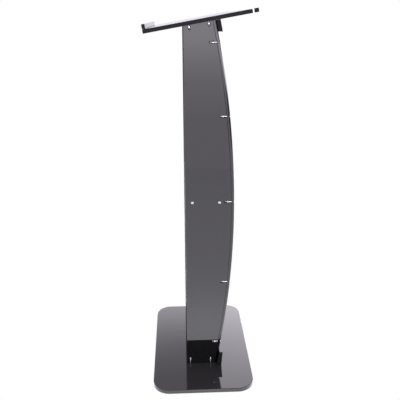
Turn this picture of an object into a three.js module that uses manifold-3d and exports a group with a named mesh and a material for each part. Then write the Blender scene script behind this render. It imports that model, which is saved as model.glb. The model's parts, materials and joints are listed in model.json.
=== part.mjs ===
// Presentation lectern in gloss black acrylic sheet, a flat-pack design held together by steel bolts.
// Millimetres, +Z up, +Y towards the speaker, -Y towards the audience, X across the lectern.
// The origin is on the floor under the middle of the base.
//
// Two D-shaped side panels stand on a heavy base plate. Their rear edges are plumb and their front
// edges are bowed, and a bent front sheet is bolted against the bowed edges. A sloping top plate lies
// on the side panels. Each bolt runs into a T-slot cut in the edge of a side panel, where a captive
// hex nut holds it. The speaker's side of the column is open and has one shelf.
import * as THREE from "three";
import { mergeVertices } from "three/addons/utils/BufferGeometryUtils.js";
import Module from "manifold-3d";

const wasm = await Module();
wasm.setup();

// ---------------------------------------------------------------- driving dimensions
const GAP = 0.3; // between pieces that touch
const SHEET = 10; // acrylic sheet of the column and the top
const EDGE_EASE = 0.8; // eased corners of the base, the plate, the book stop and the bar
const STRIP_EASE = 0.4; // eased corners of the bright strip

const PAD_HEIGHT = 3;
const PAD_RADIUS = 14;
const PAD_INSET = 46; // pad centre in from the base's edges

const BASE_WIDTH = 510; // along X
const BASE_DEPTH = 335; // along Y
const BASE_THICKNESS = 15;
const BASE_CORNER = 55;

const COLUMN_WIDTH = 240; // over the two side panels
const REAR_Y = 53; // plumb rear edges of the side panels
const BOW_RADIUS = 2840; // outer face of the bent front sheet
const BOW_FRONT_Y = -101.5; // its foremost line
const BOW_MID_Z = 564; // height of that line

const TOP_WIDTH = 600; // along X
const TOP_TILT = 10; // degrees, high towards the audience
const TOP_LOW_Y = 155; // upper rear corner of the plate
const TOP_LOW_Z = 1134;
const PLATE_LENGTH = 271; // down the slope
const STRIP_LENGTH = 5; // bright strip along the plate's high edge
const BAR_LENGTH = 11; // black nosing bar beyond the strip
const STOP_HEIGHT = 12; // book stop above the reading surface
const STOP_THICKNESS = 8.5;

const SHELF_Z = 619; // middle of the shelf's thickness
const SHELF_REAR_Y = 49;
const SHELF_FRONT_Y = -86;

const TOP_CLEAT_BOTTOM = 1124;
const BOTTOM_CLEAT_TOP = 71;
const BOTTOM_CLEAT_FOOT = 17; // thickness of the bottom cleat where it meets the base plate
const CLEAT_THICKNESS = 11.5;
const FOOT_OVERHANG = 14; // how far the bottom cleat runs past the column on each side

// M5 fasteners
const SHANK_RADIUS = 2.5;
const HOLE_RADIUS = SHANK_RADIUS + GAP;
const HEAD_RADIUS = 4.8;
const HEAD_DEPTH = 2.8; // countersunk head
const HEAD_RIM = 0.4; // straight rim above its cone
const HEAD_SINK = 1; // how far a countersunk head lies below the face
const TIP_CHAMFER = 0.5; // at the end of a shank
const BUTTON_HEIGHT = 2.6;
const SOCKET_FLATS = 3.2;
const SOCKET_DEPTH = 1.7;
const NUT_FLATS = 8;
const NUT_HEIGHT = 4;

// Faceting of round shapes
const ROUND_SIDES = 16; // fasteners and their holes
const CORNER_SEGMENTS = 12; // each corner of the base
const BOW_SEGMENTS = 40; // the bowed line from foot to top

const FRONT_BOLT_Z = [105, 337, 619, 887, 1096];
const FRONT_BOLT_REACH = 20; // shank inside the side panel
const FOOT_BOLT_Y = [41, -29.5];
const FOOT_BOLT_REACH = 22;
const TOP_BOLT_Y = [38, -17];
const TOP_BOLT_REACH = 15;
const SHELF_SCREW_Y = [31, -54];
const SHELF_SCREW_LENGTH = 25;

// ---------------------------------------------------------------- derived places
const DECK_Z = PAD_HEIGHT + BASE_THICKNESS; // upper face of the base
const TILT = THREE.MathUtils.degToRad(TOP_TILT);
const PANEL_MID_X = COLUMN_WIDTH / 2 - SHEET / 2;
const BOW_CENTRE_Y = BOW_FRONT_Y + BOW_RADIUS;
const SIDES = { left: -1, right: 1 }; // seen by the audience from the front, +X is on the right

// ---------------------------------------------------------------- materials
function material(color, roughness, metalness) {
  return new THREE.MeshStandardMaterial({ color, roughness, metalness });
}
const ACRYLIC = material(0x0b0b0d, 0.08, 0);
const RUBBER = material(0x141414, 0.9, 0);
const STEEL = material(0xd8dade, 0.22, 1);

// ---------------------------------------------------------------- solids
const group = new THREE.Group();

function solid(geometry) {
  const bare = geometry.index ? geometry.toNonIndexed() : geometry.clone();
  bare.deleteAttribute("normal");
  bare.deleteAttribute("uv");
  const merged = mergeVertices(bare, 1e-3);
  return new wasm.Manifold(
    new wasm.Mesh({
      numProp: 3,
      vertProperties: merged.attributes.position.array,
      triVerts: new Uint32Array(merged.index.array),
    }),
  );
}

function surface(made) {
  const { vertProperties, triVerts } = made.getMesh();
  const geometry = new THREE.BufferGeometry();
  geometry.setAttribute("position", new THREE.BufferAttribute(vertProperties, 3));
  geometry.setIndex(new THREE.BufferAttribute(triVerts, 1));
  geometry.computeVertexNormals();
  return geometry;
}

function add(name, geometry, finish, placed) {
  const mesh = new THREE.Mesh(geometry, finish);
  mesh.name = name;
  if (placed) mesh.applyMatrix4(placed);
  group.add(mesh);
}

function cutAll(body, cutters) {
  return cutters.reduce((left, cutter) => left.subtract(solid(cutter)), body);
}

function box(sizeX, sizeY, sizeZ, x, y, z) {
  return new THREE.BoxGeometry(sizeX, sizeY, sizeZ).translate(x, y, z);
}

// An outline drawn in Y and Z, made solid across X between two planes.
function acrossX(outline, fromX, toX, curveSegments = 1) {
  const geometry = new THREE.ExtrudeGeometry(outline, {
    depth: toX - fromX,
    bevelEnabled: false,
    curveSegments,
  });
  const yzToWorld = new THREE.Matrix4().makeBasis(
    new THREE.Vector3(0, 1, 0),
    new THREE.Vector3(0, 0, 1),
    new THREE.Vector3(1, 0, 0),
  );
  return geometry.applyMatrix4(yzToWorld).translate(fromX, 0, 0);
}

// Places a piece made along +Z so that its origin is at a point and its +Z runs along a direction.
function aimed(point, direction) {
  const up = new THREE.Vector3(0, 0, 1);
  const turn = new THREE.Quaternion().setFromUnitVectors(up, direction.clone().normalize());
  return new THREE.Matrix4().compose(point, turn, new THREE.Vector3(1, 1, 1));
}

// ---------------------------------------------------------------- bow and slope
// Y of the bowed face at a height, moved outwards by an offset.
function bowY(z, offset = 0) {
  return BOW_CENTRE_Y - Math.sqrt((BOW_RADIUS + offset) ** 2 - (z - BOW_MID_Z) ** 2);
}

// Adds the bowed line to an outline, from one height to another, moved outwards by an offset.
function addBow(outline, fromZ, toZ, offset) {
  const radius = BOW_RADIUS + offset;
  const angle = (z) => Math.PI - Math.asin((z - BOW_MID_Z) / radius);
  const clockwise = toZ > fromZ;
  outline.absarc(BOW_CENTRE_Y, BOW_MID_Z, radius, angle(fromZ), angle(toZ), clockwise);
}

// The top's own frame: origin at the plate's upper rear corner line, +Y up the slope, +Z out of it.
const slopeFrame = new THREE.Matrix4().makeBasis(
  new THREE.Vector3(-1, 0, 0),
  new THREE.Vector3(0, -Math.cos(TILT), Math.sin(TILT)),
  new THREE.Vector3(0, Math.sin(TILT), Math.cos(TILT)),
);
slopeFrame.setPosition(0, TOP_LOW_Y, TOP_LOW_Z);
const slopeNormal = new THREE.Vector3(0, Math.sin(TILT), Math.cos(TILT));

// Point of the top's underside at a given world Y.
function undersideAt(x, y) {
  const z = TOP_LOW_Z + (TOP_LOW_Y - y) * Math.tan(TILT) - SHEET / Math.cos(TILT);
  return new THREE.Vector3(x, y, z);
}

// Everything above the top plate's underside, with the usual gap, to trim what stands under it.
const SLAB_SIZE = 800;
const aboveUnderside = box(SLAB_SIZE, SLAB_SIZE, SLAB_SIZE, 0, 0, SLAB_SIZE / 2 - SHEET - GAP);
aboveUnderside.applyMatrix4(slopeFrame);
const TALL_Z = 1190; // above the top everywhere, before trimming

// ---------------------------------------------------------------- fasteners
// Countersunk bolt along +Z: the head's face is at z = 0 and the shank runs to -length.
function countersunkBolt(length) {
  const profile = [
    new THREE.Vector2(0, -length),
    new THREE.Vector2(SHANK_RADIUS - TIP_CHAMFER, -length),
    new THREE.Vector2(SHANK_RADIUS, -length + TIP_CHAMFER),
    new THREE.Vector2(SHANK_RADIUS, -HEAD_DEPTH),
    new THREE.Vector2(HEAD_RADIUS, -HEAD_RIM),
    new THREE.Vector2(HEAD_RADIUS, 0),
    new THREE.Vector2(0, 0),
  ];
  return withSocket(profile, 0);
}

// Button-head screw along +Z: the head sits on z = 0 and the shank runs to -length.
function buttonScrew(length) {
  const profile = [
    new THREE.Vector2(0, -length),
    new THREE.Vector2(SHANK_RADIUS - TIP_CHAMFER, -length),
    new THREE.Vector2(SHANK_RADIUS, -length + TIP_CHAMFER),
    new THREE.Vector2(SHANK_RADIUS, 0),
    new THREE.Vector2(HEAD_RADIUS, 0),
    new THREE.Vector2(HEAD_RADIUS, BUTTON_HEIGHT * 0.2),
    new THREE.Vector2(HEAD_RADIUS * 0.84, BUTTON_HEIGHT * 0.62),
    new THREE.Vector2(HEAD_RADIUS * 0.55, BUTTON_HEIGHT),
    new THREE.Vector2(0, BUTTON_HEIGHT),
  ];
  return withSocket(profile, BUTTON_HEIGHT);
}

// Turns a profile into a fastener and sinks a hexagon socket into its head's face.
function withSocket(profile, faceZ) {
  const turned = new THREE.LatheGeometry(profile, ROUND_SIDES).rotateX(Math.PI / 2);
  const corner = SOCKET_FLATS / Math.sqrt(3);
  const socket = new THREE.CylinderGeometry(corner, corner, 2 * SOCKET_DEPTH, 6);
  socket.rotateX(Math.PI / 2).translate(0, 0, faceZ);
  return surface(solid(turned).subtract(solid(socket)));
}

// Hex nut along +Z, its face towards the bolt's head at z = 0, with two flats facing its pocket walls.
function hexNut() {
  const outline = new THREE.Shape();
  const corner = NUT_FLATS / Math.sqrt(3);
  for (let side = 0; side < 6; side += 1) {
    const angle = (side * Math.PI) / 3;
    const point = [corner * Math.cos(angle), corner * Math.sin(angle)];
    if (side === 0) outline.moveTo(...point);
    else outline.lineTo(...point);
  }
  const bore = new THREE.Path();
  bore.absarc(0, 0, HOLE_RADIUS, 0, 2 * Math.PI, true);
  outline.holes.push(bore);
  const settings = { depth: NUT_HEIGHT, bevelEnabled: false, curveSegments: ROUND_SIDES / 2 };
  return new THREE.ExtrudeGeometry(outline, settings).translate(0, 0, -NUT_HEIGHT);
}

// Hole for a bolt whose head face is at z = 0 and which runs down -Z; the sink opens well past the face.
function boltHole(length, sunk = true) {
  const top = 6;
  const wide = HEAD_RADIUS + GAP;
  const profile = sunk
    ? [
        new THREE.Vector2(0, -length),
        new THREE.Vector2(HOLE_RADIUS, -length),
        new THREE.Vector2(HOLE_RADIUS, -HEAD_DEPTH - GAP),
        new THREE.Vector2(wide, -HEAD_RIM - GAP),
        new THREE.Vector2(wide, top),
        new THREE.Vector2(0, top),
      ]
    : [
        new THREE.Vector2(0, -length),
        new THREE.Vector2(HOLE_RADIUS, -length),
        new THREE.Vector2(HOLE_RADIUS, top),
        new THREE.Vector2(0, top),
      ];
  return new THREE.LatheGeometry(profile, ROUND_SIDES).rotateX(Math.PI / 2);
}

// One joint between a plate and the edge of a side panel.
// mouth: point on the panel's edge, in the middle of its thickness
// outwards: direction out of the panel, through the plate
// plate: thickness of the plate along that direction
// reach: how far the shank enters the panel
function tSlotJoint(mouth, outwards, plate, reach) {
  const head = mouth.clone().addScaledVector(outwards, plate - HEAD_SINK);
  const length = plate - HEAD_SINK + reach;
  const nutDepth = reach / 2 - 1; // from the panel's edge to the nut
  const nutFace = mouth.clone().addScaledVector(outwards, -nutDepth);
  return { mouth, outwards, reach, head, length, nutDepth, nutFace };
}

// The two cuts of a T-slot, made right through a side panel: a slot for the shank and a nut pocket.
function tSlotCutters(joint) {
  const through = 4 * SHEET;
  const over = 8; // past the panel's edge
  const slotDepth = joint.reach + 2;
  const pocket = NUT_HEIGHT + 2 * GAP;
  const pocketZ = -joint.nutDepth + GAP - pocket / 2;
  const shankSlot = box(through, 2 * HOLE_RADIUS, slotDepth + over, 0, 0, (over - slotDepth) / 2);
  const nutPocket = box(through, NUT_FLATS + 2 * GAP, pocket, 0, 0, pocketZ);
  const placed = slotPlacement(joint.mouth, joint.outwards);
  return [shankSlot.applyMatrix4(placed), nutPocket.applyMatrix4(placed)];
}

// Like aimed(), but local X stays along world X, so that slots and nuts lie square to the side panel.
function slotPlacement(point, outwards) {
  const x = new THREE.Vector3(1, 0, 0);
  const y = new THREE.Vector3().crossVectors(outwards, x).normalize();
  return new THREE.Matrix4().makeBasis(x, y, outwards).setPosition(point);
}

function addTSlotFasteners(prefix, label, joint) {
  const headPlace = aimed(joint.head, joint.outwards);
  add(`${prefix}_bolt_${label}`, countersunkBolt(joint.length), STEEL, headPlace);
  const nutPlace = slotPlacement(joint.nutFace, joint.outwards);
  add(`${prefix}_nut_${label}`, hexNut(), STEEL, nutPlace);
}

// ---------------------------------------------------------------- joints of one side
const DOWN = new THREE.Vector3(0, 0, -1);
const FORWARD = new THREE.Vector3(0, -1, 0);

function jointsOf(side) {
  const x = SIDES[side] * PANEL_MID_X;
  const front = FRONT_BOLT_Z.map((z) => {
    const mouth = new THREE.Vector3(x, bowY(z, -SHEET), z);
    return tSlotJoint(mouth, FORWARD, bowY(z, -SHEET) - bowY(z), FRONT_BOLT_REACH);
  });
  const foot = FOOT_BOLT_Y.map((y) => {
    const mouth = new THREE.Vector3(x, y, DECK_Z);
    return tSlotJoint(mouth, DOWN, BASE_THICKNESS, FOOT_BOLT_REACH);
  });
  const top = TOP_BOLT_Y.map((y) => {
    return tSlotJoint(undersideAt(x, y), slopeNormal, SHEET, TOP_BOLT_REACH);
  });
  return { front, foot, top };
}
const joints = { left: jointsOf("left"), right: jointsOf("right") };
const bothSides = (row) => Object.keys(SIDES).flatMap((side) => joints[side][row]);

// Shelf screws: head on the side panel's outer face, shank along X into the shelf's end.
function shelfScrewPlace(side, y) {
  const outwards = new THREE.Vector3(SIDES[side], 0, 0);
  const seat = new THREE.Vector3((SIDES[side] * COLUMN_WIDTH) / 2, y, SHELF_Z);
  return aimed(seat.addScaledVector(outwards, GAP), outwards);
}

function shelfScrewHoles(side, length) {
  return SHELF_SCREW_Y.map((y) => {
    return boltHole(length, false).applyMatrix4(shelfScrewPlace(side, y));
  });
}

// ---------------------------------------------------------------- base
function makeBase() {
  const halfX = BASE_WIDTH / 2;
  const halfY = BASE_DEPTH / 2;
  const outline = new THREE.Shape();
  outline.absarc(halfX - BASE_CORNER, halfY - BASE_CORNER, BASE_CORNER, 0, Math.PI / 2);
  outline.absarc(BASE_CORNER - halfX, halfY - BASE_CORNER, BASE_CORNER, Math.PI / 2, Math.PI);
  outline.absarc(BASE_CORNER - halfX, BASE_CORNER - halfY, BASE_CORNER, Math.PI, 1.5 * Math.PI);
  outline.absarc(halfX - BASE_CORNER, BASE_CORNER - halfY, BASE_CORNER, 1.5 * Math.PI, 2 * Math.PI);
  const plate = new THREE.ExtrudeGeometry(outline, {
    depth: BASE_THICKNESS - 2 * EDGE_EASE - GAP,
    bevelThickness: EDGE_EASE,
    bevelSize: EDGE_EASE,
    bevelOffset: -EDGE_EASE,
    bevelSegments: 1,
    curveSegments: CORNER_SEGMENTS,
  }).translate(0, 0, PAD_HEIGHT + EDGE_EASE + GAP);
  const holes = bothSides("foot").map((joint) => {
    return boltHole(joint.length + GAP).applyMatrix4(aimed(joint.head, joint.outwards));
  });
  add("base_plate", surface(cutAll(solid(plate), holes)), ACRYLIC);

  const padX = halfX - PAD_INSET;
  const padY = halfY - PAD_INSET;
  const corners = [
    [-padX, -padY],
    [padX, -padY],
    [padX, padY],
    [-padX, padY],
  ];
  const profile = [
    new THREE.Vector2(0, 0),
    new THREE.Vector2(PAD_RADIUS - 1, 0),
    new THREE.Vector2(PAD_RADIUS, 0.8),
    new THREE.Vector2(PAD_RADIUS - 0.6, PAD_HEIGHT),
    new THREE.Vector2(0, PAD_HEIGHT),
  ];
  const pad = new THREE.LatheGeometry(profile, 2 * ROUND_SIDES).rotateX(Math.PI / 2);
  corners.forEach(([x, y], index) => {
    const placed = new THREE.Matrix4().makeTranslation(x, y, 0);
    add(`rubber_pad_${index + 1}`, pad, RUBBER, placed);
  });
}

// ---------------------------------------------------------------- column
function makeSidePanel(side) {
  const footZ = DECK_Z + GAP;
  const outline = new THREE.Shape();
  outline.moveTo(REAR_Y, footZ);
  outline.lineTo(REAR_Y, TALL_Z);
  outline.lineTo(bowY(TALL_Z, -SHEET - GAP), TALL_Z);
  addBow(outline, TALL_Z, footZ, -SHEET - GAP);
  const innerX = COLUMN_WIDTH / 2 - SHEET;
  const span = [innerX * SIDES[side], (COLUMN_WIDTH / 2) * SIDES[side]].sort((a, b) => a - b);
  const slots = [...joints[side].front, ...joints[side].foot, ...joints[side].top];
  const cutters = [aboveUnderside, ...slots.flatMap(tSlotCutters), ...shelfScrewHoles(side, SHEET + 5)];
  const panel = cutAll(solid(acrossX(outline, ...span, BOW_SEGMENTS)), cutters);
  add(`side_panel_${side}`, surface(panel), ACRYLIC);
}

function makeFrontPanel() {
  const footZ = DECK_Z + GAP;
  const outline = new THREE.Shape();
  addBow(outline, TALL_Z, footZ, 0);
  addBow(outline, footZ, TALL_Z, -SHEET);
  const sheet = solid(acrossX(outline, -COLUMN_WIDTH / 2, COLUMN_WIDTH / 2, BOW_SEGMENTS));
  const holes = bothSides("front").map((joint) => {
    return boltHole(joint.length).applyMatrix4(aimed(joint.head, joint.outwards));
  });
  add("front_panel", surface(cutAll(sheet, [aboveUnderside, ...holes])), ACRYLIC);
}

function makeShelf() {
  const halfX = COLUMN_WIDTH / 2 - SHEET - GAP;
  const depth = SHELF_REAR_Y - SHELF_FRONT_Y;
  const middleY = (SHELF_REAR_Y + SHELF_FRONT_Y) / 2;
  const board = solid(box(2 * halfX, depth, SHEET, 0, middleY, SHELF_Z));
  const holes = Object.keys(SIDES).flatMap((side) => shelfScrewHoles(side, SHELF_SCREW_LENGTH + GAP));
  add("shelf", surface(cutAll(board, holes)), ACRYLIC);
}

// Strip across the front of the bent sheet, following its face, where it meets the base or the top.
function makeCleat(name, fromZ, toZ, footThickness, overhang) {
  const outline = new THREE.Shape();
  outline.moveTo(bowY(fromZ, GAP), fromZ);
  outline.lineTo(bowY(toZ, GAP), toZ);
  outline.lineTo(bowY(toZ, GAP + CLEAT_THICKNESS), toZ);
  outline.lineTo(bowY(fromZ, GAP + footThickness), fromZ);
  const end = COLUMN_WIDTH / 2 + overhang;
  const strip = solid(acrossX(outline, -end, end));
  add(name, surface(cutAll(strip, [aboveUnderside])), ACRYLIC);
}

// ---------------------------------------------------------------- top
// Outline in the slope frame with eased corners, made solid across X.
function slopeBar(fromY, toY, fromZ, toZ, ease = EDGE_EASE) {
  const outline = new THREE.Shape();
  outline.moveTo(fromY + ease, fromZ);
  outline.lineTo(toY - ease, fromZ);
  outline.lineTo(toY, fromZ + ease);
  outline.lineTo(toY, toZ - ease);
  outline.lineTo(toY - ease, toZ);
  outline.lineTo(fromY + ease, toZ);
  outline.lineTo(fromY, toZ - ease);
  outline.lineTo(fromY, fromZ + ease);
  return acrossX(outline, -TOP_WIDTH / 2, TOP_WIDTH / 2).applyMatrix4(slopeFrame);
}

function makeTop() {
  const plate = solid(slopeBar(0, PLATE_LENGTH, -SHEET, 0));
  const holes = bothSides("top").map((joint) => {
    return boltHole(joint.length).applyMatrix4(aimed(joint.head, joint.outwards));
  });
  add("top_plate", surface(cutAll(plate, holes)), ACRYLIC);
  add("book_stop", slopeBar(0, STOP_THICKNESS, GAP, STOP_HEIGHT), ACRYLIC);
  const stripEnd = PLATE_LENGTH + STRIP_LENGTH;
  const strip = slopeBar(PLATE_LENGTH + GAP, stripEnd - GAP, -SHEET, 0, STRIP_EASE);
  add("edge_strip", strip, STEEL);
  add("edge_bar", slopeBar(stripEnd, stripEnd + BAR_LENGTH, -SHEET, 0), ACRYLIC);
}

// ---------------------------------------------------------------- assembly
makeBase();
makeFrontPanel();
makeShelf();
makeCleat("front_cleat_top", TOP_CLEAT_BOTTOM, TALL_Z, CLEAT_THICKNESS, 0);
makeCleat("front_cleat_bottom", DECK_Z + GAP, BOTTOM_CLEAT_TOP, BOTTOM_CLEAT_FOOT, FOOT_OVERHANG);
makeTop();
Object.keys(SIDES).forEach((side) => {
  makeSidePanel(side);
  Object.entries(joints[side]).forEach(([row, places]) => {
    places.forEach((joint, index) => addTSlotFasteners(row, `${side}_${index + 1}`, joint));
  });
  SHELF_SCREW_Y.forEach((y, index) => {
    const placed = shelfScrewPlace(side, y);
    add(`shelf_screw_${side}_${index + 1}`, buttonScrew(SHELF_SCREW_LENGTH), STEEL, placed);
  });
});

export default group;
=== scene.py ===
"""The looks of the presentation lectern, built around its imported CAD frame.

Metres, +Z up, +Y towards the speaker, -Y towards the audience. Every node of the frame is replaced by a
finer mesh in the same place: the acrylic sheets get rounded polished arrises, bolts and screws get
helical threads and hexagon sockets, nuts get chamfers and the pads get a moulded form.
"""
import json
import math
from collections import namedtuple

import bmesh
import bpy
from mathutils import Matrix, Vector


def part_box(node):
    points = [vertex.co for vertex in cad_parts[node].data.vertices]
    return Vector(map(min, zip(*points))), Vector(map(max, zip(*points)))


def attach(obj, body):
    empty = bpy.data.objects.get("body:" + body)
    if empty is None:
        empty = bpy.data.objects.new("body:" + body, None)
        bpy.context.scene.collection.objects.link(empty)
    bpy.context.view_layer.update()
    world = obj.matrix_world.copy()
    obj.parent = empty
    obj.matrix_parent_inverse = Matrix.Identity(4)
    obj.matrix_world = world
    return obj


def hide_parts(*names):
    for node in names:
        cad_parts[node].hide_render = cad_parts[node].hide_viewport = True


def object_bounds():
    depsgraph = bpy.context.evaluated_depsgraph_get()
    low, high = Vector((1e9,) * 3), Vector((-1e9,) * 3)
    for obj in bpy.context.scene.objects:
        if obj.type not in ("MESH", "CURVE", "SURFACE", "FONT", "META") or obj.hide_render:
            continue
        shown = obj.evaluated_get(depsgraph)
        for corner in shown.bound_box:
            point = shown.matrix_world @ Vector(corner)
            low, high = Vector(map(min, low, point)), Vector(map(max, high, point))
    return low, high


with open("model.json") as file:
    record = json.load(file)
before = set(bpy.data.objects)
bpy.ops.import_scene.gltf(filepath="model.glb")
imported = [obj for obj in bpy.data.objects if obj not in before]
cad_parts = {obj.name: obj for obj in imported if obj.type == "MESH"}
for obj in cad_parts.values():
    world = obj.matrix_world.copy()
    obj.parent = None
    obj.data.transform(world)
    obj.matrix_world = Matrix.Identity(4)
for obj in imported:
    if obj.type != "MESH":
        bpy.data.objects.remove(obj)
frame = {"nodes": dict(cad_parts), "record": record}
cad_low, cad_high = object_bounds()

# ---------------------------------------------------------------- dimensions
GAP = 0.0003  # between pieces that touch
SHEET = 0.010
CLEAT_THICKNESS = 0.0115
CLEAT_FOOT = 0.017  # thickness of the bottom cleat at the base plate
STRIP_INSET = 0.0004  # dark bonding gap on each side of the bright strip

ARRIS = 0.0008  # rounded corner of a polished sheet
BASE_ARRIS = 0.0018
STRIP_ARRIS = 0.0004
NUT_ARRIS = 0.00015
ARRIS_SEGMENTS = 3
BENT_EDGE_RADIUS = 0.0065  # polished outer corners of the bent front sheet
BENT_EDGE_STEPS = 8
SMOOTH_LIMIT = math.radians(40)  # sharper edges than this shade as edges

BASE_CORNER = 0.055
CORNER_STEPS = 28
BOW_RADIUS = 2.840  # outer face of the bent front sheet
BOW_MID_Z = 0.564  # height of its foremost line
BOW_STEPS = 96
BOW_TOP_ROUNDS = 12

SHANK_RADIUS = 0.0025
HOLE_RADIUS = SHANK_RADIUS + GAP
THREAD_PITCH = 0.0008
THREAD_DEPTH = 0.00045
RINGS_PER_TURN = 4
TIP_RADIUS = SHANK_RADIUS - THREAD_DEPTH * 1.5
TIP_CHAMFER = THREAD_DEPTH * 1.2
HEAD_RADIUS = 0.0048
HEAD_DEPTH = 0.0028
HEAD_RIM = 0.0004
HEAD_EASE = 0.0001  # broken edges of a head
PLAIN_SHORT = 0.003  # how far a bolt's plain shank ends short of its nut
BUTTON_HEIGHT = 0.0026
BUTTON_STEPS = 7
SOCKET_FLATS = 0.0032
SOCKET_DEPTH = 0.0017
DRILL_POINT = 0.0006  # below a socket's floor
DRILL_TIP = 0.0002  # radius at the end of the drill point
NUT_FLATS = 0.008
NUT_HEIGHT = 0.004
NUT_FACE = 0.96  # diameter of a nut's round face as a share of its flats
NUT_BORE_RADIUS = SHANK_RADIUS - THREAD_DEPTH * 0.6
NUT_MOUTH = 0.0006  # depth of the countersink at each end of a nut's bore
SLOT_RUN_OUT = 0.002  # slot beyond a bolt's tip
SOCKET_PAST_FACE = 0.002  # how far each cutter reaches out of the face it cuts
SCREW_HOLE_PAST_FACE = 0.004
COUNTERSINK_PAST_FACE = 0.006
FASTENER_SIDES = 24
HOLE_SIDES = 40

PAD_SIDES = 64
PAD_RECESS_RADIUS = 0.003  # in the middle of a pad's underside
PAD_RECESS_DEPTH = 0.0008
PAD_FILLET = 0.0008
PAD_FILLET_STEPS = 5

FORWARD = Vector((0, -1, 0))
DOWN = Vector((0, 0, -1))
SIDES = {"left": -1, "right": 1}

front_low, front_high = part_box("front_panel")
BOW_CENTRE_Y = front_low.y + BOW_RADIUS


# ---------------------------------------------------------------- places
def axes(x_axis, y_axis, z_axis, origin=(0, 0, 0)):
    """The matrix whose local axes are these three, at this origin."""
    turn = Matrix((x_axis, y_axis, z_axis)).transposed().to_4x4()
    return Matrix.Translation(origin) @ turn


# An outline drawn in Y and Z, with its depth along X.
ACROSS = axes((0, 1, 0), (0, 0, 1), (1, 0, 0))

reading_mount = next(m for m in frame["record"]["mounts"] if m["name"] == "reading_surface")
SLOPE_OUT = Vector(reading_mount["axis"]).normalized()
SLOPE_POINT = Vector((0, *reading_mount["pos_m"][1:]))
# The top's own frame: local Y runs up the slope and local Z out of the reading surface.
SLOPE = axes((-1, 0, 0), Vector((1, 0, 0)).cross(SLOPE_OUT), SLOPE_OUT, SLOPE_POINT)


def extent(node, place):
    """Lowest and highest corner of a CAD node in the local frame of a place."""
    to_local = place.inverted()
    points = [to_local @ vertex.co for vertex in frame["nodes"][node].data.vertices]
    return Vector([min(row) for row in zip(*points)]), Vector([max(row) for row in zip(*points)])


def bow_y(z, offset=0.0):
    """Y of the bowed face at a height, moved outwards by an offset."""
    return BOW_CENTRE_Y - math.sqrt((BOW_RADIUS + offset) ** 2 - (z - BOW_MID_Z) ** 2)


def underside_z(y):
    """Height at which a piece under the top plate ends, with the usual gap, at a world Y."""
    drop = SHEET + GAP + SLOPE_OUT.y * (y - SLOPE_POINT.y)
    return SLOPE_POINT.z - drop / SLOPE_OUT.z


def bow_top(offset):
    """Height where the bowed line meets the underside of the top, closed in on round by round."""
    z = cad_high.z
    for _ in range(BOW_TOP_ROUNDS):
        z = underside_z(bow_y(z, offset))
    return z


def bow_line(z_from, z_to, offset):
    """Points (y, z) along the bowed line, both ends included."""
    heights = [z_from + (z_to - z_from) * step / BOW_STEPS for step in range(BOW_STEPS + 1)]
    return [(bow_y(z, offset), z) for z in heights]


# ---------------------------------------------------------------- meshes
def closed_mesh(name, points, faces):
    mesh = bpy.data.meshes.new(name)
    mesh.from_pydata(points, [], faces)
    made = bmesh.new()
    made.from_mesh(mesh)
    bmesh.ops.recalc_face_normals(made, faces=made.faces)
    made.to_mesh(mesh)
    made.free()
    return mesh


def linked(name, mesh):
    made = bpy.data.objects.new(name, mesh)
    bpy.context.scene.collection.objects.link(made)
    return made


def prism(name, outline, low, high, place):
    """A flat outline in local X and Y, made solid along local Z between two heights."""
    points = [place @ Vector((u, v, w)) for w in (low, high) for u, v in outline]
    count = len(outline)
    faces = [tuple(range(count)), tuple(range(count, 2 * count))]
    for i in range(count):
        following = (i + 1) % count
        faces.append((i, following, count + following, count + i))
    return linked(name, closed_mesh(name, points, faces))


def block(name, low, high, place):
    corners = [(low.x, low.y), (high.x, low.y), (high.x, high.y), (low.x, high.y)]
    return prism(name, corners, low.z, high.z, place)


def ring_solid(name, rings):
    """A closed solid from rings of points around local Z, each with the same count. Its ends are capped."""
    count = len(rings[0])
    points = [point for ring in rings for point in ring]
    faces = [tuple(range(count)), tuple(range(len(points) - count, len(points)))]
    for level in range(len(rings) - 1):
        first = level * count
        for i in range(count):
            following = (i + 1) % count
            faces.append((first + i, first + following, first + count + following, first + count + i))
    return linked(name, closed_mesh(name, points, faces))


def circle(radius, z, sides):
    """A ring at a height. The radius may be a number or a function of the turn, from 0 to 1."""
    ring = []
    for side in range(sides):
        turn = side / sides
        r = radius(turn) if callable(radius) else radius
        ring.append((r * math.cos(2 * math.pi * turn), r * math.sin(2 * math.pi * turn), z))
    return ring


def turned(name, profile, sides):
    """A solid of revolution around local Z from (radius, z) pairs, with flat ends."""
    return ring_solid(name, [circle(radius, z, sides) for radius, z in profile])


def settle(piece):
    """Makes the modifiers of a piece part of its mesh."""
    graph = bpy.context.evaluated_depsgraph_get()
    mesh = bpy.data.meshes.new_from_object(piece.evaluated_get(graph))
    piece.modifiers.clear()
    piece.data = mesh


def round_edges(piece, width=ARRIS):
    bevel = piece.modifiers.new("arris", "BEVEL")
    bevel.width = width
    bevel.segments = ARRIS_SEGMENTS
    bevel.limit_method = "ANGLE"
    bevel.angle_limit = SMOOTH_LIMIT
    settle(piece)


def combine(piece, operation, others):
    for other in others:
        step = piece.modifiers.new(operation.lower(), "BOOLEAN")
        step.operation = operation
        step.solver = "EXACT"
        step.object = other
    settle(piece)
    for other in others:
        bpy.data.objects.remove(other)


def shade(piece):
    """Smooth shading that keeps flat faces flat and breaks at sharp edges."""
    piece.data.shade_smooth()
    piece.data.set_sharp_from_angle(angle=SMOOTH_LIMIT)
    weights = piece.modifiers.new("weighted_normals", "WEIGHTED_NORMAL")
    weights.keep_sharp = True
    settle(piece)


def hand_in(piece, node, slot, *materials):
    """Gives a finished piece its materials and puts it in the place of its CAD node."""
    if not piece.data.materials:
        for material in materials:
            piece.data.materials.append(material)
    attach(piece, "root")
    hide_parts(node)


# ---------------------------------------------------------------- materials
NOISE_SPAN = (0.3, 0.7)  # where most of a noise's values lie


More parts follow.
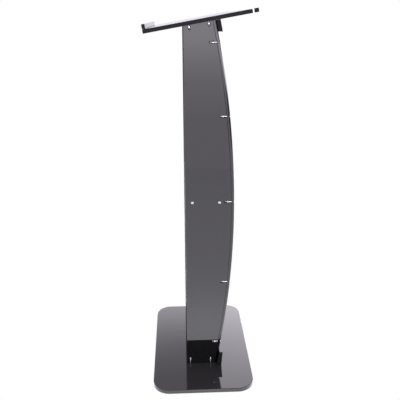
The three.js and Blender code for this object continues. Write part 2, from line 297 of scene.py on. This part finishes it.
def new_material(name, base_color, roughness, metallic=0.0, ior=1.5):
    """A principled material. Its plain colour and roughness hold where no texture takes them over."""
    material = bpy.data.materials.new(name)
    material.use_nodes = True
    shader = material.node_tree.nodes["Principled BSDF"]
    shader.inputs["Base Color"].default_value = (*base_color, 1)
    shader.inputs["Roughness"].default_value = roughness
    shader.inputs["Metallic"].default_value = metallic
    shader.inputs["IOR"].default_value = ior
    return material, shader


def coordinates(tree, scale=(1, 1, 1)):
    """Object coordinates in metres, stretched by a scale."""
    source = tree.nodes.new("ShaderNodeTexCoord")
    mapping = tree.nodes.new("ShaderNodeMapping")
    mapping.inputs["Scale"].default_value = scale
    tree.links.new(source.outputs["Object"], mapping.inputs["Vector"])
    return mapping.outputs["Vector"]


def noise(tree, vector, scale, detail=2.0):
    made = tree.nodes.new("ShaderNodeTexNoise")
    made.inputs["Scale"].default_value = scale
    made.inputs["Detail"].default_value = detail
    tree.links.new(vector, made.inputs["Vector"])
    return made.outputs["Fac"]


def mapped(tree, value, from_low, from_high, to_low=0.0, to_high=1.0):
    """A value moved from one range to another and clamped."""
    made = tree.nodes.new("ShaderNodeMapRange")
    for name, number in (
        ("From Min", from_low),
        ("From Max", from_high),
        ("To Min", to_low),
        ("To Max", to_high),
    ):
        made.inputs[name].default_value = number
    tree.links.new(value, made.inputs["Value"])
    return made.outputs["Result"]


def feed(tree, socket, value):
    """Links a socket to a node's output, or sets it to an RGB colour or a number."""
    if isinstance(value, bpy.types.NodeSocket):
        tree.links.new(value, socket)
    elif isinstance(value, tuple):
        socket.default_value = (*value, 1)
    else:
        socket.default_value = value


def mixed(tree, factor, first, second):
    """Colour between two colours, each of them fixed or from another node."""
    made = tree.nodes.new("ShaderNodeMix")
    made.data_type = "RGBA"
    feed(tree, made.inputs["Factor"], factor)
    feed(tree, made.inputs["A"], first)
    feed(tree, made.inputs["B"], second)
    return made.outputs["Result"]


def vary_roughness(tree, shader, value, low, high, span=NOISE_SPAN):
    """Roughness that follows a noise between two values."""
    tree.links.new(mapped(tree, value, *span, low, high), shader.inputs["Roughness"])


def bump(tree, shader, height, strength, distance):
    made = tree.nodes.new("ShaderNodeBump")
    made.inputs["Strength"].default_value = strength
    made.inputs["Distance"].default_value = distance
    tree.links.new(height, made.inputs["Height"])
    tree.links.new(made.outputs["Normal"], shader.inputs["Normal"])


def specks(tree, vector, scale, size):
    """1 on scattered small dots and 0 between them."""
    cells = tree.nodes.new("ShaderNodeTexVoronoi")
    cells.inputs["Scale"].default_value = scale
    tree.links.new(vector, cells.inputs["Vector"])
    return mapped(tree, cells.outputs["Distance"], 0.6 * size, size, 1.0, 0.0)


ACRYLIC_IOR = 1.49
ACRYLIC_COLOR = (0.0015, 0.0014, 0.0015)
SETTLED_COLOR = (0.0062, 0.0058, 0.0064)  # haze of settled dust on faces that look up
DUST_COLOR = (0.035, 0.034, 0.033)


def polished_acrylic():
    """Mirror gloss sheet: faint flow waves, wiping marks, a little dust, and haze on what looks up."""
    material, shader = new_material("polished_black_acrylic", ACRYLIC_COLOR, 0.04, ior=ACRYLIC_IOR)
    tree = material.node_tree
    vector = coordinates(tree)
    haze = noise(tree, vector, 9.0, 4.0)
    vary_roughness(tree, shader, haze, 0.03, 0.055, span=(0.35, 0.7))
    facing = tree.nodes.new("ShaderNodeNewGeometry")
    upright = tree.nodes.new("ShaderNodeSeparateXYZ")
    tree.links.new(facing.outputs["Normal"], upright.inputs[0])
    settled = mixed(tree, upright.outputs["Z"], ACRYLIC_COLOR, SETTLED_COLOR)
    dusty = mixed(tree, specks(tree, vector, 160.0, 0.075), settled, DUST_COLOR)
    tree.links.new(dusty, shader.inputs["Base Color"])
    bump(tree, shader, noise(tree, vector, 14.0, 1.0), strength=0.05, distance=0.0012)
    return material


def sawn_acrylic():
    """Cut edge that was scraped but not polished: fine cross marks and a dull sheen."""
    material, shader = new_material("sawn_black_acrylic", (0.004, 0.004, 0.0045), 0.42, ior=ACRYLIC_IOR)
    shader.inputs["Specular IOR Level"].default_value = 0.11
    tree = material.node_tree
    marks = noise(tree, coordinates(tree, (1.0, 1.0, 0.25)), 900.0)
    vary_roughness(tree, shader, marks, 0.36, 0.5)
    bump(tree, shader, marks, strength=0.25, distance=0.0002)
    return material


def bright_steel(name, dark, light):
    """Bright steel: fine grain and a slightly cloudy surface between two tints."""
    material, shader = new_material(name, light, 0.26, metallic=1.0)
    tree = material.node_tree
    cloud = noise(tree, coordinates(tree), 420.0, 3.0)
    vary_roughness(tree, shader, cloud, 0.2, 0.34)
    tint = mixed(tree, cloud, dark, light)
    tree.links.new(tint, shader.inputs["Base Color"])
    bump(tree, shader, noise(tree, coordinates(tree), 2600.0), strength=0.12, distance=0.0001)
    return material


def bright_aluminium():
    """Drawn aluminium strip: hairline marks that run along its length."""
    material, shader = new_material("drawn_aluminium", (0.4, 0.4, 0.41), 0.34, metallic=1.0)
    tree = material.node_tree
    lines = noise(tree, coordinates(tree, (0.02, 1.0, 1.0)), 2400.0)
    vary_roughness(tree, shader, lines, 0.16, 0.3)
    bump(tree, shader, lines, strength=0.1, distance=0.0001)
    return material


def moulded_rubber():
    """Matt black rubber with a fine moulded grain and pale wear dust."""
    material, shader = new_material("moulded_black_rubber", (0.02, 0.02, 0.02), 0.85)
    tree = material.node_tree
    grain = noise(tree, coordinates(tree), 1500.0, 3.0)
    wear = mixed(tree, grain, (0.012, 0.012, 0.012), (0.045, 0.044, 0.042))
    tree.links.new(wear, shader.inputs["Base Color"])
    vary_roughness(tree, shader, grain, 0.75, 0.95)
    bump(tree, shader, grain, strength=0.4, distance=0.0003)
    return material


POLISHED = polished_acrylic()
SAWN = sawn_acrylic()
ZINC_STEEL = bright_steel("bright_zinc_steel", (0.66, 0.68, 0.71), (0.84, 0.84, 0.84))
STAINLESS_STEEL = bright_steel("stainless_steel", (0.3, 0.3, 0.31), (0.4, 0.4, 0.4))
ALUMINIUM = bright_aluminium()
RUBBER = moulded_rubber()


# ---------------------------------------------------------------- fasteners
LEAST_PART = 0.01  # a direction with less than this along an axis is across it
Bolt = namedtuple("Bolt", "row label place length nut_z")
Screw = namedtuple("Screw", "node place length")


def length_along(node, direction):
    """Size of a CAD node along a direction."""
    heights = [vertex.co.dot(direction) for vertex in frame["nodes"][node].data.vertices]
    return max(heights) - min(heights)


def head_place(node, outwards):
    """Frame of a fastener: origin in the middle of its head face, local Z outwards, X along world X or Y."""
    low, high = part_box(node)
    face = (low + high) / 2
    for axis, part in enumerate(outwards):
        rim = HEAD_RADIUS * math.sqrt(1 - min(1, part * part))
        if part > LEAST_PART:
            face[axis] = high[axis] - rim
        elif part < -LEAST_PART:
            face[axis] = low[axis] + rim
    side = Vector((1, 0, 0)) if abs(outwards.x) < 0.5 else Vector((0, 1, 0))
    return axes(side, outwards.cross(side), outwards, face)


def thread_rings(z_low, z_high):
    """Rings of a right-hand thread between two heights, with a chamfered lower end."""
    step = THREAD_PITCH / RINGS_PER_TURN
    rings = []
    for index in range(int((z_high - z_low) / step) + 1):
        z = z_low + index * step
        limit = SHANK_RADIUS - TIP_CHAMFER + (z - z_low)

        def radius(turn, z=z, limit=limit):
            phase = (z / THREAD_PITCH - turn) % 1.0
            crest = 1 - abs(2 * phase - 1)
            return min(limit, SHANK_RADIUS - THREAD_DEPTH * (1 - crest))

        rings.append(circle(radius, z, FASTENER_SIDES))
    return rings


def hex_socket():
    """Cutter of a hexagon socket with a drill point, open at z = 0."""
    corner = SOCKET_FLATS / math.sqrt(3)
    levels = [
        (DRILL_TIP, -SOCKET_DEPTH - DRILL_POINT),
        (corner, -SOCKET_DEPTH),
        (corner, SOCKET_PAST_FACE),
    ]
    return ring_solid("socket_cutter", [circle(radius, z, 6) for radius, z in levels])


def fastener_mesh(name, length, head, plain_to, material):
    """A fastener with its head face at z = 0, threaded from its tip up to a height and plain above that.

    Head is a list of (radius, z), from below upwards.
    """
    rings = [circle(TIP_RADIUS, -length, FASTENER_SIDES)]
    rings += thread_rings(-length + GAP, plain_to - THREAD_PITCH)
    rings.append(circle(SHANK_RADIUS, plain_to, FASTENER_SIDES))
    rings += [circle(radius, z, FASTENER_SIDES) for radius, z in head]
    made = ring_solid(name, rings)
    combine(made, "DIFFERENCE", [hex_socket()])
    shade(made)
    mesh = made.data
    mesh.name = name
    mesh.materials.append(material)
    bpy.data.objects.remove(made)
    return mesh


def countersunk_head():
    """Flat face, short straight rim and cone."""
    return [
        (SHANK_RADIUS, -HEAD_DEPTH),
        (HEAD_RADIUS - HEAD_EASE, -HEAD_RIM - HEAD_EASE),
        (HEAD_RADIUS, -HEAD_RIM),
        (HEAD_RADIUS, -HEAD_EASE),
        (HEAD_RADIUS - HEAD_EASE, 0),
    ]


def button_head():
    """Domed head on a flat seat, as a circular arc from the rim to the flat around the socket."""
    rim_z = -BUTTON_HEIGHT * 0.82
    flat_radius = HEAD_RADIUS * 0.5
    head = [
        (SHANK_RADIUS, -BUTTON_HEIGHT),
        (HEAD_RADIUS - HEAD_EASE, -BUTTON_HEIGHT),
        (HEAD_RADIUS, -BUTTON_HEIGHT + HEAD_EASE),
    ]
    for step in range(BUTTON_STEPS + 1):
        angle = step / BUTTON_STEPS * math.pi / 2
        radius = flat_radius + (HEAD_RADIUS - flat_radius) * math.cos(angle)
        head.append((radius, rim_z * (1 - math.sin(angle))))
    return head


def nut_mesh(name):
    """Hex nut centred on its origin, with flats along local Y, chamfered corners and a countersunk bore."""
    corner = NUT_FLATS / math.sqrt(3)
    half = NUT_HEIGHT / 2
    hexagon = ring_solid(name, [circle(corner, z, 6) for z in (-half, half)])
    round_edges(hexagon, NUT_ARRIS)

    past_corner = corner * 1.01
    face_radius = NUT_FLATS / 2 * NUT_FACE
    chamfer = (corner - face_radius) * math.tan(math.radians(30))
    dome_profile = [
        (face_radius, -half - GAP / 10),
        (past_corner, -half + chamfer),
        (past_corner, half - chamfer),
        (face_radius, half + GAP / 10),
    ]
    past_face = 0.0002
    mouth = SHANK_RADIUS + 2 * past_face
    bore_profile = [
        (mouth, -half - past_face),
        (NUT_BORE_RADIUS, -half + NUT_MOUTH),
        (NUT_BORE_RADIUS, half - NUT_MOUTH),
        (mouth, half + past_face),
    ]
    dome = turned("nut_dome", dome_profile, HOLE_SIDES)
    drill = turned("nut_bore", bore_profile, HOLE_SIDES)
    combine(hexagon, "INTERSECT", [dome])
    combine(hexagon, "DIFFERENCE", [drill])
    shade(hexagon)
    mesh = hexagon.data
    mesh.name = name
    mesh.materials.append(ZINC_STEEL)
    bpy.data.objects.remove(hexagon)
    return mesh


def countersink_cutter(place, length):
    """Clearance hole and countersink of one bolt."""
    wide = HEAD_RADIUS + GAP
    profile = [
        (HOLE_RADIUS, -length),
        (HOLE_RADIUS, -HEAD_DEPTH - GAP),
        (wide, -HEAD_RIM - GAP),
        (wide, COUNTERSINK_PAST_FACE),
    ]
    cutter = turned("countersink_cutter", profile, HOLE_SIDES)
    cutter.data.transform(place)
    return cutter


def slot_cutter(place, length, nut_z):
    """T-slot of one bolt, right through the thickness of a side panel."""
    slot = HOLE_RADIUS
    pocket = NUT_FLATS / 2 + GAP
    above = nut_z + NUT_HEIGHT / 2 + GAP
    below = nut_z - NUT_HEIGHT / 2 - GAP
    half = [
        (slot, 0),
        (slot, above),
        (pocket, above),
        (pocket, below),
        (slot, below),
        (slot, -length - SLOT_RUN_OUT),
    ]
    outline = half + [(-u, v) for u, v in reversed(half)]
    return prism("slot_cutter", outline, -SHEET, SHEET, place @ ACROSS)


def find_bolts():
    """Every bolt that runs into a T-slot, with the height of its nut's middle in the bolt's own frame."""
    found = []
    for row, outwards in (("front", FORWARD), ("foot", DOWN), ("top", SLOPE_OUT)):
        prefix = f"{row}_bolt_"
        for node in sorted(name for name in frame["nodes"] if name.startswith(prefix)):
            label = node.removeprefix(prefix)
            place = head_place(node, outwards)
            nut_low, nut_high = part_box(f"{row}_nut_{label}")
            nut_z = (place.inverted() @ ((nut_low + nut_high) / 2)).z
            found.append(Bolt(row, label, place, length_along(node, outwards), nut_z))
    return found


def find_screws():
    """The button-head screws that run through the side panels into the shelf's ends."""
    found = []
    for side, sign in SIDES.items():
        outwards = Vector((sign, 0, 0))
        for index in (1, 2):
            node = f"shelf_screw_{side}_{index}"
            found.append(Screw(node, head_place(node, outwards), length_along(node, outwards)))
    return found


BOLTS = find_bolts()
SCREWS = find_screws()


def make_bolts():
    """Every bolt with its captive nut. The bolts of a row share a mesh, and so do all the nuts."""
    shared = {}
    nut_shape = nut_mesh("m5_hex_nut")
    for row, label, place, length, nut_z in BOLTS:
        if row not in shared:
            plain_to = nut_z + NUT_HEIGHT / 2 + PLAIN_SHORT
            name = f"m5_countersunk_{row}"
            shared[row] = fastener_mesh(name, length, countersunk_head(), plain_to, ZINC_STEEL)
        bolt = linked(f"{row}_bolt_{label}_threaded", shared[row])
        bolt.matrix_world = place
        hand_in(bolt, f"{row}_bolt_{label}", "bright_steel")
        nut = linked(f"{row}_nut_{label}_chamfered", nut_shape)
        nut.matrix_world = place @ Matrix.Translation((0, 0, nut_z))
        hand_in(nut, f"{row}_nut_{label}", "bright_steel")


def make_shelf_screws():
    plain_to = -BUTTON_HEIGHT - THREAD_PITCH
    shape = fastener_mesh("m5_button_screw", SCREWS[0].length, button_head(), plain_to, STAINLESS_STEEL)
    for screw in SCREWS:
        made = linked(f"{screw.node}_threaded", shape)
        made.matrix_world = screw.place
        hand_in(made, screw.node, "bright_steel")


def screw_cutters(side=None):
    """Clearance holes of the shelf screws of one side, or of both."""
    for screw in SCREWS:
        if side is None or f"_{side}_" in screw.node:
            ends = [(HOLE_RADIUS, -screw.length - GAP), (HOLE_RADIUS, SCREW_HOLE_PAST_FACE)]
            cutter = turned("screw_cutter", ends, HOLE_SIDES)
            cutter.data.transform(screw.place)
            yield cutter


def countersinks(row):
    """Cutters of every bolt head in a row."""
    return [countersink_cutter(bolt.place, bolt.length + GAP) for bolt in BOLTS if bolt.row == row]


# ---------------------------------------------------------------- acrylic sheets
LEAST_FACING = 0.5  # a face within 60 degrees of a polished direction is polished


def finish_sheet(piece, node, cutters=(), polished=None):
    """Cuts and shades an acrylic piece, gives it its materials and hides its CAD node. Faces off its polished
    directions are sawn edges.
    """
    if cutters:
        combine(piece, "DIFFERENCE", list(cutters))
    shade(piece)
    if polished is None:
        hand_in(piece, node, "black_acrylic", POLISHED)
        return
    hand_in(piece, node, "black_acrylic", POLISHED, SAWN)
    for face in piece.data.polygons:
        broad = any(abs(face.normal.dot(way)) > LEAST_FACING for way in polished)
        face.material_index = 0 if broad else 1


def make_base():
    """The base plate, with the countersunk holes of the foot bolts underneath."""
    low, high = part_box("base_plate")
    corner_centres = [
        (high.x - BASE_CORNER, high.y - BASE_CORNER),
        (low.x + BASE_CORNER, high.y - BASE_CORNER),
        (low.x + BASE_CORNER, low.y + BASE_CORNER),
        (high.x - BASE_CORNER, low.y + BASE_CORNER),
    ]
    outline = []
    for quarter, (x, y) in enumerate(corner_centres):
        for step in range(CORNER_STEPS + 1):
            angle = (quarter + step / CORNER_STEPS) * math.pi / 2
            outline.append((x + BASE_CORNER * math.cos(angle), y + BASE_CORNER * math.sin(angle)))
    plate = prism("base_plate_sheet", outline, low.z, high.z, Matrix.Identity(4))
    round_edges(plate, BASE_ARRIS)
    finish_sheet(plate, "base_plate", countersinks("foot"))


def pad_profile(radius, height):
    """(radius, z) pairs: a dished recess underneath, a rounded rim and a tapered side."""
    rim = radius - 0.001
    profile = [
        (PAD_RECESS_RADIUS, PAD_RECESS_DEPTH),
        (PAD_RECESS_RADIUS + 0.0012, PAD_RECESS_DEPTH - 0.0001),
        (PAD_RECESS_RADIUS + 0.0022, 0.0),
        (rim, 0.0),
    ]
    for step in range(1, PAD_FILLET_STEPS + 1):
        angle = step / PAD_FILLET_STEPS * math.pi / 2
        profile.append((rim + PAD_FILLET * math.sin(angle), PAD_FILLET * (1 - math.cos(angle))))
    profile.append((radius - 0.0002, 0.0012))
    profile.append((radius - 0.0006, height))
    return profile


def make_pads():
    """The four rubber pads share one mesh."""
    low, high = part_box("rubber_pad_1")
    profile = pad_profile((high.x - low.x) / 2, high.z - low.z)
    pad = turned("rubber_pad_moulded", profile, PAD_SIDES)
    shade(pad)
    pad.data.materials.append(RUBBER)
    for index in range(1, 5):
        node = f"rubber_pad_{index}"
        low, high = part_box(node)
        made = linked(f"{node}_moulded", pad.data)
        made.location = ((low.x + high.x) / 2, (low.y + high.y) / 2, low.z)
        hand_in(made, node, "black_rubber")
    bpy.data.objects.remove(pad)


def make_side_panel(side):
    """Plumb rear edge, bowed front edge, a T-slot for each bolt and holes for the shelf screws."""
    node = f"side_panel_{side}"
    low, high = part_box(node)
    edge = -SHEET - GAP
    outline = [(high.y, low.z), (high.y, underside_z(high.y))]
    outline += bow_line(bow_top(edge), low.z, edge)
    panel = prism(f"{node}_sheet", outline, low.x, high.x, ACROSS)
    round_edges(panel)
    slots = [slot_cutter(bolt.place, bolt.length, bolt.nut_z) for bolt in BOLTS if side in bolt.label]
    finish_sheet(panel, node, slots + list(screw_cutters(side)))


def sheet_section(half_width, outer_radius, inner_radius):
    """Cross-section (x, offset from the outer face) of the bent sheet, with rounded corners."""
    section = []
    corners = (
        (half_width - outer_radius, -outer_radius, outer_radius),
        (outer_radius - half_width, -outer_radius, outer_radius),
        (inner_radius - half_width, inner_radius - SHEET, inner_radius),
        (half_width - inner_radius, inner_radius - SHEET, inner_radius),
    )
    for quarter, (centre_x, centre_offset, radius) in enumerate(corners):
        for step in range(BENT_EDGE_STEPS + 1):
            angle = math.radians(90 * (quarter + step / BENT_EDGE_STEPS))
            section.append((centre_x + radius * math.cos(angle), centre_offset + radius * math.sin(angle)))
    return section


def make_front_panel():
    """The rounded cross-section carried up the bow, trimmed along the underside of the top."""
    section = sheet_section(front_high.x, BENT_EDGE_RADIUS, ARRIS)
    rings = []
    for step in range(BOW_STEPS + 1):
        share = step / BOW_STEPS
        ring = []
        for x, offset in section:
            z = front_low.z + share * (bow_top(offset) - front_low.z)
            ring.append((x, bow_y(z, offset), z))
        rings.append(ring)
    sheet = ring_solid("front_panel_bent_sheet", rings)
    finish_sheet(sheet, "front_panel", countersinks("front"))


def make_shelf():
    low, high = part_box("shelf")
    board = block("shelf_board", low, high, Matrix.Identity(4))
    round_edges(board)
    finish_sheet(board, "shelf", screw_cutters())


def make_cleat(node, z_low, z_inner, z_outer, foot_thickness):
    """Strip on the bent sheet's outer face, from a foot up to the heights of its inner and outer corner."""
    outline = [
        (bow_y(z_low, GAP), z_low),
        (bow_y(z_inner, GAP), z_inner),
        (bow_y(z_outer, GAP + CLEAT_THICKNESS), z_outer),
        (bow_y(z_low, GAP + foot_thickness), z_low),
    ]
    low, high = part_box(node)
    cleat = prism(f"{node}_strip", outline, low.x, high.x, ACROSS)
    round_edges(cleat)
    finish_sheet(cleat, node, polished=[FORWARD, DOWN])


def make_cleats():
    """The bottom one stands on the base plate. The top one ends along the underside of the top plate."""
    low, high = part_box("front_cleat_bottom")
    make_cleat("front_cleat_bottom", low.z, high.z, high.z, CLEAT_FOOT)
    low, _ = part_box("front_cleat_top")
    outer_z = bow_top(GAP + CLEAT_THICKNESS)
    make_cleat("front_cleat_top", low.z, bow_top(GAP), outer_z, CLEAT_THICKNESS)


def make_top():
    """The sloping plate, the book stop and the nosing bar, with the bright strip between plate and bar."""
    up_slope = SLOPE.col[1].to_3d()
    for node, broad in (("top_plate", SLOPE_OUT), ("book_stop", up_slope), ("edge_bar", SLOPE_OUT)):
        low, high = extent(node, SLOPE)
        sheet = block(f"{node}_sheet", low, high, SLOPE)
        round_edges(sheet)
        cutters = countersinks("top") if node == "top_plate" else ()
        finish_sheet(sheet, node, cutters, [broad])
    low, high = extent("edge_strip", SLOPE)
    low.y += STRIP_INSET
    high.y -= STRIP_INSET
    strip = block("edge_strip_drawn", low, high, SLOPE)
    round_edges(strip, STRIP_ARRIS)
    shade(strip)
    hand_in(strip, "edge_strip", "bright_strip", ALUMINIUM)


# ---------------------------------------------------------------- stage
CAMERA_PLACE = Vector((-1.5952, 0.0731, 1.1636))
CAMERA_YAW = math.radians(-2.567)  # from +X towards -Y
CAMERA_PITCH = math.radians(19.949)  # downwards
CAMERA_ROLL = math.radians(-0.094)
CAMERA_LENS = 45.51
SENSOR = 36.0
FLOOR_RADIUS = 2.6
FLOOR_THICKNESS = 0.02
FLOOR_SIDES = 128
FLOOR_COLOR = (0.88, 0.875, 0.9)


def make_camera():
    heading = Vector((math.cos(CAMERA_YAW), math.sin(CAMERA_YAW), 0))
    level_right = Vector((math.sin(CAMERA_YAW), -math.cos(CAMERA_YAW), 0))
    up = Vector((0, 0, 1))
    view = heading * math.cos(CAMERA_PITCH) - up * math.sin(CAMERA_PITCH)
    view_up = up * math.cos(CAMERA_PITCH) + heading * math.sin(CAMERA_PITCH)
    right = level_right * math.cos(CAMERA_ROLL) + view_up * math.sin(CAMERA_ROLL)
    view_up = view_up * math.cos(CAMERA_ROLL) - level_right * math.sin(CAMERA_ROLL)
    data = bpy.data.cameras.new("camera")
    data.lens = CAMERA_LENS
    data.sensor_width = SENSOR
    data.clip_start = 0.05
    data.clip_end = 100.0
    camera = bpy.data.objects.new("camera", data)
    bpy.context.scene.collection.objects.link(camera)
    camera.matrix_world = axes(right, view_up, -view, CAMERA_PLACE)
    bpy.context.scene.camera = camera


def plain_when_seen(tree, lit, plain, surface):
    """Shows the plain shader where the stage is seen directly, and the lit one to light and reflections."""
    path = tree.nodes.new("ShaderNodeLightPath")
    either = tree.nodes.new("ShaderNodeMixShader")
    tree.links.new(path.outputs["Is Camera Ray"], either.inputs[0])
    tree.links.new(lit.outputs[0], either.inputs[1])
    tree.links.new(plain.outputs[0], either.inputs[2])
    tree.links.new(either.outputs[0], surface)


def make_floor():
    """White floor, lit well past white. What is seen directly is plain white, as in an overexposed studio."""
    profile = [(FLOOR_RADIUS, -FLOOR_THICKNESS), (FLOOR_RADIUS, 0.0)]
    floor = turned("floor", profile, FLOOR_SIDES)
    material, shader = new_material("white_floor", FLOOR_COLOR, roughness=0.9)
    shader.inputs["Specular IOR Level"].default_value = 0.0
    tree = material.node_tree
    plain = tree.nodes.new("ShaderNodeEmission")
    plain_when_seen(tree, shader, plain, tree.nodes["Material Output"].inputs["Surface"])
    floor.data.materials.append(material)


# Radiance of the studio around the object: (elevation in degrees, radiance) stops, one row for each side.
BEHIND_SPEAKER_SIDE = [(-12, 1.0), (2, 0.88), (5, 1.3), (14, 4.4), (28, 5.0), (32.4, 3.45), (34.4, 2.4)]
BEHIND_SPEAKER_SIDE += [(35.7, 1.85), (37.5, 1.35), (39.3, 1.05), (50, 0.9), (90, 0.8)]
BEHIND_AUDIENCE_SIDE = [(-12, 1.0), (2, 0.88), (5, 1.3), (14, 5.0), (28, 7.0), (32.4, 6.15), (34.4, 5.4)]
BEHIND_AUDIENCE_SIDE += [(35.7, 4.85), (37.5, 4.25), (39.3, 3.7), (50, 2.0), (60, 0.9), (90, 0.8)]
CAMERA_SIDE = [(-20, 2.45), (-11, 2.5), (-8.8, 2.8), (-6.7, 3.1), (-4.5, 3.9), (-2, 5.0), (2, 5.0)]
CAMERA_SIDE += [(8, 2.4), (16, 1.4), (35, 1.4), (60, 0.8), (90, 0.8)]
SPEAKER_SIDE = [(-20, 2.4), (-9, 1.0), (0, 0.9), (12, 1.6), (35, 1.8), (60, 0.8), (90, 0.8)]
AUDIENCE_SIDE = [(-16, 2.6), (-12, 2.4), (-9.5, 0.5), (-3, 0.3), (-1.5, 2.0), (0.5, 8.0), (3.5, 8.0)]
AUDIENCE_SIDE += [(6, 1.7), (14, 1.7), (35, 2.4), (60, 0.8), (90, 0.8)]
RADIANCE_TOP = 8.0
STUDIO_TINT = (1.0, 0.955, 1.055)
# Where one side blends into the next, as the azimuth or a part of the unit direction at each end.
BEHIND_SPLIT = (math.radians(-1.2), math.radians(-4.4))
CAMERA_EDGE_X = (-0.1, -0.5)
AUDIENCE_EDGE_Y = (-0.32, -0.5)
SPEAKER_EDGE_Y = (0.3, 0.55)


def computed(tree, operation, *inputs):
    """The result of a Math node, from outputs and numbers."""
    node = tree.nodes.new("ShaderNodeMath")
    node.operation = operation
    for socket, value in zip(node.inputs, inputs):
        feed(tree, socket, value)
    return node.outputs[0]


def radiance_by_elevation(tree, elevation_share, stops):
    """Tinted radiance over RADIANCE_TOP from a share that runs from 0 straight down to 1 straight up."""
    ramp = tree.nodes.new("ShaderNodeValToRGB")
    elements = ramp.color_ramp.elements
    while len(elements) < len(stops):
        elements.new(0.5)
    for element, (degrees, radiance) in zip(elements, stops):
        element.position = (degrees + 90) / 180
        element.color = (*[part * radiance / RADIANCE_TOP for part in STUDIO_TINT], 1)
    tree.links.new(elevation_share, ramp.inputs["Fac"])
    return ramp.outputs["Color"]


def make_world():
    """A soft studio, brighter behind the object and behind the camera, with a dark flag and a strip light."""
    world = bpy.data.worlds.new("studio")
    bpy.context.scene.world = world
    world.use_nodes = True
    tree = world.node_tree
    direction = tree.nodes.new("ShaderNodeTexCoord").outputs["Generated"]
    split = tree.nodes.new("ShaderNodeSeparateXYZ")
    tree.links.new(direction, split.inputs[0])
    x, y, z = split.outputs
    elevation = computed(tree, "ARCSINE", z)
    share = computed(tree, "MULTIPLY_ADD", elevation, 1 / math.pi, 0.5)
    azimuth = computed(tree, "ARCTAN2", y, x)
    left = radiance_by_elevation(tree, share, BEHIND_SPEAKER_SIDE)
    right = radiance_by_elevation(tree, share, BEHIND_AUDIENCE_SIDE)
    around = mixed(tree, mapped(tree, azimuth, *BEHIND_SPLIT), left, right)
    for value, edge, row in (
        (x, CAMERA_EDGE_X, CAMERA_SIDE),
        (y, AUDIENCE_EDGE_Y, AUDIENCE_SIDE),
        (y, SPEAKER_EDGE_Y, SPEAKER_SIDE),
    ):
        beyond = mapped(tree, value, *edge)
        around = mixed(tree, beyond, around, radiance_by_elevation(tree, share, row))
    background = tree.nodes["Background"]
    background.inputs["Strength"].default_value = RADIANCE_TOP
    tree.links.new(around, background.inputs["Color"])
    plain = tree.nodes.new("ShaderNodeBackground")
    plain.inputs["Color"].default_value = (1, 1, 1, 1)
    plain_when_seen(tree, background, plain, tree.nodes["World Output"].inputs["Surface"])


def make_lamp(name, place, target, size, power):
    """A soft disc lamp that lights the stage but is not mirrored in the gloss sheets."""
    data = bpy.data.lights.new(name, "AREA")
    data.shape = "DISK"
    data.size = size
    data.energy = power
    lamp = bpy.data.objects.new(name, data)
    bpy.context.scene.collection.objects.link(lamp)
    lamp.location = place
    lamp.rotation_euler = (Vector(target) - Vector(place)).to_track_quat("-Z", "Y").to_euler()
    lamp.visible_glossy = False
    lamp.visible_camera = False


def make_stage():
    make_camera()
    make_floor()
    make_world()
    make_lamp("overhead_softbox", place=(0.0, 0.0, 6.0), target=(0.0, 0.0, 0.0), size=4.0, power=520.0)
    make_lamp("floor_wash", place=(-0.35, 0.0, 0.38), target=(-0.32, 0.0, 0.0), size=0.15, power=2.3)
    bpy.context.scene.view_settings.view_transform = "Standard"


# ---------------------------------------------------------------- assembly
make_stage()
make_base()
make_pads()
for panel_side in SIDES:
    make_side_panel(panel_side)
make_front_panel()
make_shelf()
make_cleats()
make_top()
make_bolts()
make_shelf_screws()
